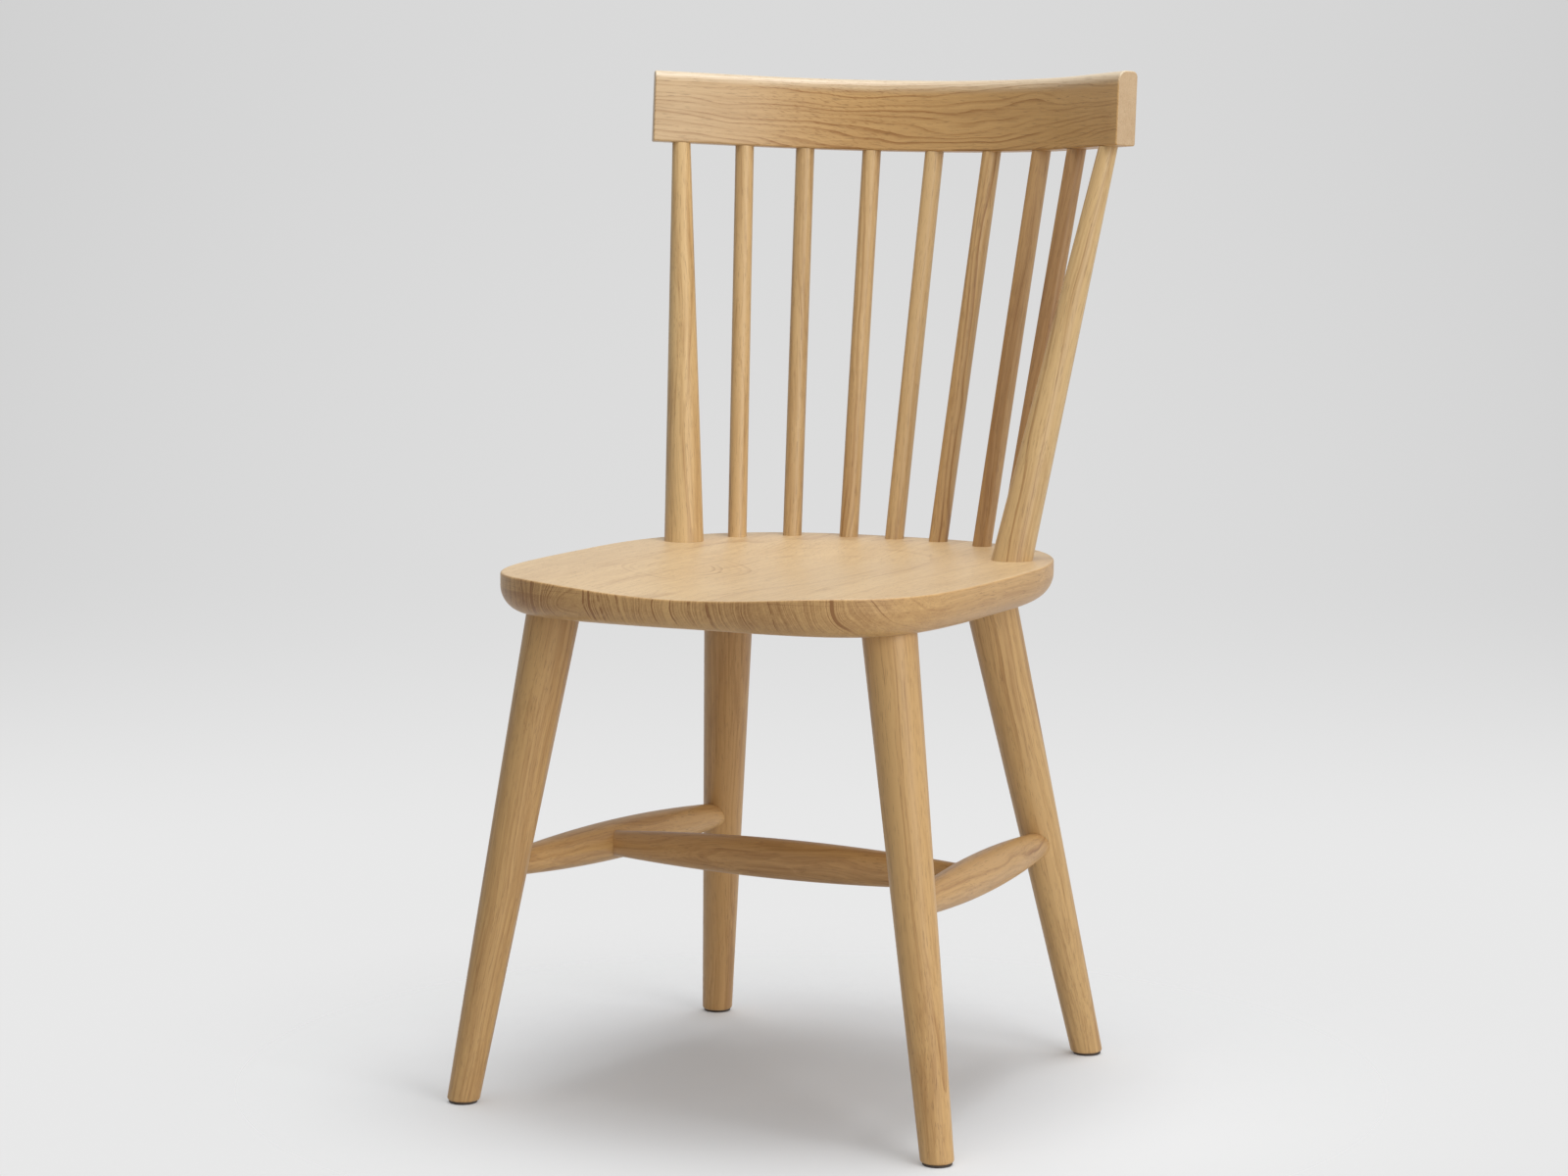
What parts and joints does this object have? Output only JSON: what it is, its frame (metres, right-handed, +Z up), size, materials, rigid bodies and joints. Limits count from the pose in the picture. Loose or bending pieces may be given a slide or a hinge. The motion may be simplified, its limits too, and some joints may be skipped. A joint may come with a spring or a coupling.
{
  "type": "windsor chair",
  "caption": "Windsor dining chair: saddled solid seat, splayed tapered legs with an H of stretchers, raked spindles between two tapered posts, bent crest rail.",
  "frame": {"origin": "on the floor, under the middle of the chair's overall box", "axes": "+Z up. -Y is the front of the chair and +Y its back. +X is the right and -X the left, as seen from the front, and so are the words left and right in the node names. Spindles are numbered from -X to +X."},
  "size_m": [0.4616, 0.5227, 0.8591],
  "materials": {
    "seat_wood": "satin clear lacquer, grain front to back",
    "crest_wood": "satin clear lacquer, grain along the rail",
    "turned_wood": "satin clear lacquer, grain along each turning",
    "glide": "matt dark brown"
  },
  "bodies": {
    "root": {"seat": "seat_wood", "crest_rail": "crest_wood", "back_post_left": "turned_wood", "back_post_right": "turned_wood", "spindle_1": "turned_wood", "spindle_2": "turned_wood", "spindle_3": "turned_wood", "spindle_4": "turned_wood", "spindle_5": "turned_wood", "spindle_6": "turned_wood", "spindle_7": "turned_wood", "leg_front_left": "turned_wood", "leg_front_right": "turned_wood", "leg_rear_left": "turned_wood", "leg_rear_right": "turned_wood", "side_stretcher_left": "turned_wood", "side_stretcher_right": "turned_wood", "cross_stretcher": "turned_wood", "foot_glide_front_left": "glide", "foot_glide_front_right": "glide", "foot_glide_rear_left": "glide", "foot_glide_rear_right": "glide"}
  },
  "joints": []
}
